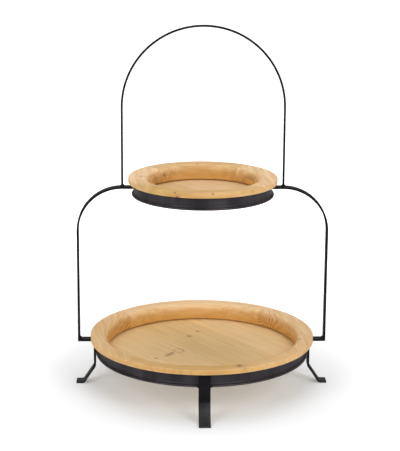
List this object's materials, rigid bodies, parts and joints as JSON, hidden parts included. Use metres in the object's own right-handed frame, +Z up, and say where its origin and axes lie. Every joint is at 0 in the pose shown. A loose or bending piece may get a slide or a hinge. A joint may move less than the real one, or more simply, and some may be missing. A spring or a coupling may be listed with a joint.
{
  "type": "tiered cake stand",
  "caption": "Tiered cake stand: round pine trays that lift out of the rings of a welded black steel frame with bent legs and an arched carrying handle.",
  "frame": {"origin": "on the ground under the middle of the trays, level with the soles of the feet", "axes": "+Z up, X across the uprights and the handle, -Y towards the front leg"},
  "size_m": [0.345, 0.345, 0.493],
  "materials": {
    "lower_rim_wood": "clear matt lacquer over turned pine",
    "lower_floor_wood": "clear matt lacquer over edge-glued pine planks",
    "upper_rim_wood": "clear matt lacquer over turned pine",
    "upper_floor_wood": "clear matt lacquer over edge-glued pine planks",
    "black_steel": "satin black powder coat with a faint texture",
    "black_weld": "satin black powder coat over weld beads"
  },
  "bodies": {
    "frame": {"lower_ring_band_1": "black_steel", "lower_ring_band_2": "black_steel", "lower_ring_band_3": "black_steel", "lower_ring_band_4": "black_steel", "upper_ring_band_back": "black_steel", "upper_ring_band_front": "black_steel", "lower_ring_lip": "black_steel", "upper_ring_lip": "black_steel", "leg_front": "black_steel", "leg_right": "black_steel", "leg_back": "black_steel", "leg_left": "black_steel", "upright_right": "black_steel", "upright_left": "black_steel", "bracket_right": "black_steel", "bracket_left": "black_steel", "handle_rod": "black_steel", "leg_welds": "black_weld", "bracket_welds": "black_weld", "shoulder_welds": "black_weld", "handle_welds": "black_weld"},
    "lower_tray": {"lower_rim_segment_1": "lower_rim_wood", "lower_rim_segment_2": "lower_rim_wood", "lower_rim_segment_3": "lower_rim_wood", "lower_rim_segment_4": "lower_rim_wood", "lower_floor_plank_1": "lower_floor_wood", "lower_floor_plank_2": "lower_floor_wood", "lower_floor_plank_3": "lower_floor_wood", "lower_floor_plank_4": "lower_floor_wood", "lower_floor_plank_5": "lower_floor_wood", "lower_floor_plank_6": "lower_floor_wood", "lower_floor_plank_7": "lower_floor_wood"},
    "upper_tray": {"upper_rim_segment_1": "upper_rim_wood", "upper_rim_segment_2": "upper_rim_wood", "upper_rim_segment_3": "upper_rim_wood", "upper_rim_segment_4": "upper_rim_wood", "upper_floor_plank_1": "upper_floor_wood", "upper_floor_plank_2": "upper_floor_wood", "upper_floor_plank_3": "upper_floor_wood", "upper_floor_plank_4": "upper_floor_wood"}
  },
  "joints": [
    {"name": "lower_tray_lift", "type": "slide", "parent": "frame", "child": "lower_tray", "axis": [0, 0, 1], "range_m": [0, 0.18]},
    {"name": "upper_tray_lift", "type": "slide", "parent": "frame", "child": "upper_tray", "axis": [0, 0, 1], "range_m": [0, 0.125]}
  ]
}
